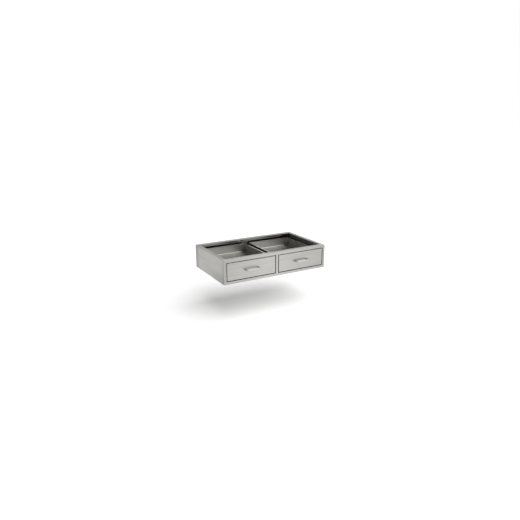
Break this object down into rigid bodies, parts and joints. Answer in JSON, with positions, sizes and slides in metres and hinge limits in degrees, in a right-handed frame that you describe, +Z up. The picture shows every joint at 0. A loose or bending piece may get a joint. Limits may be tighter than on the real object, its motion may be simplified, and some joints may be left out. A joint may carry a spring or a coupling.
{
  "type": "knee-space drawer unit",
  "caption": "Low open-topped stainless case that hangs under a bench top, with shallow drawers side by side on ball-bearing slides and bow wire pulls.",
  "frame": {"origin": "centre of the whole unit's footprint, pulls included, on the underside of the case", "axes": "+X to the right seen from the front, +Y towards the back panel, +Z up"},
  "size_m": [0.762, 0.4724, 0.158],
  "materials": {
    "case": "brushed stainless sheet, satin",
    "fronts": "brushed stainless sheet with horizontal grain, satin",
    "tray": "dull rolled stainless sheet",
    "inner_sheet": "dull rolled stainless sheet",
    "pull": "satin stainless wire",
    "slide_steel": "zinc-plated steel, semi-bright",
    "balls": "polished bearing steel",
    "fasteners": "stainless screws, semi-bright",
    "fibre": "pressed fibre board, rough",
    "rubber": "matte moulded rubber"
  },
  "bodies": {
    "case": {"back_panel": "case", "bottom_panel": "inner_sheet", "case_slide_screws": "fasteners", "centre_divider": "inner_sheet", "centre_stile": "case", "front_bottom_rail": "case", "front_top_rail": "case", "left_drawer_bumpers": "rubber", "left_drawer_centre_slide_case_member": "slide_steel", "left_drawer_end_slide_case_member": "slide_steel", "left_front_slide_bracket": "inner_sheet", "left_rear_slide_bracket": "inner_sheet", "left_side_panel": "case", "rear_centre_plate": "inner_sheet", "right_drawer_bumpers": "rubber", "right_drawer_centre_slide_case_member": "slide_steel", "right_drawer_end_slide_case_member": "slide_steel", "right_front_slide_bracket": "inner_sheet", "right_rear_slide_bracket": "inner_sheet", "right_side_panel": "case"},
    "left_drawer": {"left_drawer_centre_slide_drawer_member": "slide_steel", "left_drawer_end_slide_drawer_member": "slide_steel", "left_drawer_front": "fronts", "left_drawer_front_screws": "fasteners", "left_drawer_inner_front": "inner_sheet", "left_drawer_pull": "pull", "left_drawer_pull_screws": "fasteners", "left_drawer_slide_screws": "fasteners", "left_drawer_sound_pad": "fibre", "left_drawer_tray": "tray"},
    "left_inner_cages": {"left_drawer_centre_slide_inner_ball_cage": "slide_steel", "left_drawer_end_slide_inner_ball_cage": "slide_steel", "left_drawer_inner_slide_balls": "balls"},
    "left_middle_members": {"left_drawer_centre_slide_middle_member": "slide_steel", "left_drawer_end_slide_middle_member": "slide_steel"},
    "left_outer_cages": {"left_drawer_centre_slide_outer_ball_cage": "slide_steel", "left_drawer_end_slide_outer_ball_cage": "slide_steel", "left_drawer_outer_slide_balls": "balls"},
    "right_drawer": {"right_drawer_centre_slide_drawer_member": "slide_steel", "right_drawer_end_slide_drawer_member": "slide_steel", "right_drawer_front": "fronts", "right_drawer_front_screws": "fasteners", "right_drawer_inner_front": "inner_sheet", "right_drawer_pull": "pull", "right_drawer_pull_screws": "fasteners", "right_drawer_slide_screws": "fasteners", "right_drawer_sound_pad": "fibre", "right_drawer_tray": "tray"},
    "right_inner_cages": {"right_drawer_centre_slide_inner_ball_cage": "slide_steel", "right_drawer_end_slide_inner_ball_cage": "slide_steel", "right_drawer_inner_slide_balls": "balls"},
    "right_middle_members": {"right_drawer_centre_slide_middle_member": "slide_steel", "right_drawer_end_slide_middle_member": "slide_steel"},
    "right_outer_cages": {"right_drawer_centre_slide_outer_ball_cage": "slide_steel", "right_drawer_end_slide_outer_ball_cage": "slide_steel", "right_drawer_outer_slide_balls": "balls"}
  },
  "joints": [
    {"name": "left_drawer_slide", "type": "slide", "parent": "case", "child": "left_drawer", "axis": [0, -1, 0], "range_m": [0, 0.37]},
    {"name": "left_middle_members_slide", "type": "slide", "parent": "case", "child": "left_middle_members", "axis": [0, -1, 0], "range_m": [0, 0.185]},
    {"name": "left_outer_cages_slide", "type": "slide", "parent": "case", "child": "left_outer_cages", "axis": [0, -1, 0], "range_m": [0, 0.0925]},
    {"name": "left_inner_cages_slide", "type": "slide", "parent": "case", "child": "left_inner_cages", "axis": [0, -1, 0], "range_m": [0, 0.2775]},
    {"name": "right_drawer_slide", "type": "slide", "parent": "case", "child": "right_drawer", "axis": [0, -1, 0], "range_m": [0, 0.37]},
    {"name": "right_middle_members_slide", "type": "slide", "parent": "case", "child": "right_middle_members", "axis": [0, -1, 0], "range_m": [0, 0.185]},
    {"name": "right_outer_cages_slide", "type": "slide", "parent": "case", "child": "right_outer_cages", "axis": [0, -1, 0], "range_m": [0, 0.0925]},
    {"name": "right_inner_cages_slide", "type": "slide", "parent": "case", "child": "right_inner_cages", "axis": [0, -1, 0], "range_m": [0, 0.2775]}
  ],
  "couplings": [
    {"joint": "left_middle_members_slide", "follows": "left_drawer_slide", "ratio": 0.5},
    {"joint": "left_outer_cages_slide", "follows": "left_drawer_slide", "ratio": 0.25},
    {"joint": "left_inner_cages_slide", "follows": "left_drawer_slide", "ratio": 0.75},
    {"joint": "right_middle_members_slide", "follows": "right_drawer_slide", "ratio": 0.5},
    {"joint": "right_outer_cages_slide", "follows": "right_drawer_slide", "ratio": 0.25},
    {"joint": "right_inner_cages_slide", "follows": "right_drawer_slide", "ratio": 0.75}
  ]
}
